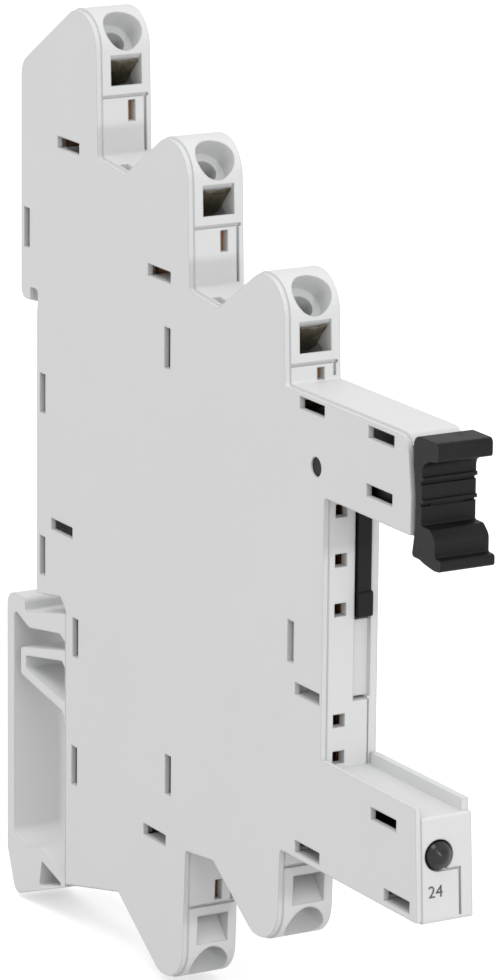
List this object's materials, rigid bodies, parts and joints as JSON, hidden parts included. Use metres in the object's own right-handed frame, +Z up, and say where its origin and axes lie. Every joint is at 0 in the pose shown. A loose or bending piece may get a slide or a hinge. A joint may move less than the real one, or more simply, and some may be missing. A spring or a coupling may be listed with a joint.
{
  "type": "relay socket",
  "caption": "Slim rail-mounted relay socket with stepped spring-clamp terminals, a relay bay between two arms, a black ejector lever and an indicator.",
  "frame": {"origin": "middle of the rail seat: on the seat's plane, at the rail's centre line and in the middle of the socket's thickness", "axes": "+X from the rail to the terminals and the indicator, +Z up, the side cover faces -Y"},
  "size_m": [0.0886, 0.0062, 0.0996],
  "materials": {
    "housing_plastic": "fine matt moulded light grey",
    "cover_plastic": "fine matt moulded light grey",
    "lever_plastic": "satin black",
    "spring_steel": "rolled spring steel",
    "copper": "stamped copper alloy",
    "board": "green solder mask",
    "component_black": "moulded epoxy",
    "capacitor_case": "moulded case",
    "resistor_body": "lacquered",
    "indicator_lens": "smoked clear resin"
  },
  "bodies": {
    "socket": {"housing_base": "housing_plastic", "side_cover": "cover_plastic", "contact_clamp_1": "spring_steel", "contact_clamp_2": "spring_steel", "contact_clamp_3": "spring_steel", "coil_clamp_1": "spring_steel", "coil_clamp_2": "spring_steel", "contact_bar_1": "copper", "contact_bar_2": "copper", "contact_bar_3": "copper", "coil_bar_1": "copper", "coil_bar_2": "copper", "contact_socket_1": "copper", "contact_socket_2": "copper", "contact_socket_3": "copper", "coil_socket_1": "copper", "coil_socket_2": "copper", "circuit_board": "board", "rectifier": "component_black", "capacitor": "capacitor_case", "surge_diode": "component_black", "resistor_1": "resistor_body", "resistor_2": "resistor_body", "indicator_led": "indicator_lens"},
    "ejector": {"ejector_lever": "lever_plastic"}
  },
  "joints": [
    {"name": "ejector_turn", "type": "hinge", "parent": "socket", "child": "ejector", "pos_m": [0.0588, 0, 0.0115], "axis": [0, -1, 0], "range_deg": [0, 14]}
  ]
}
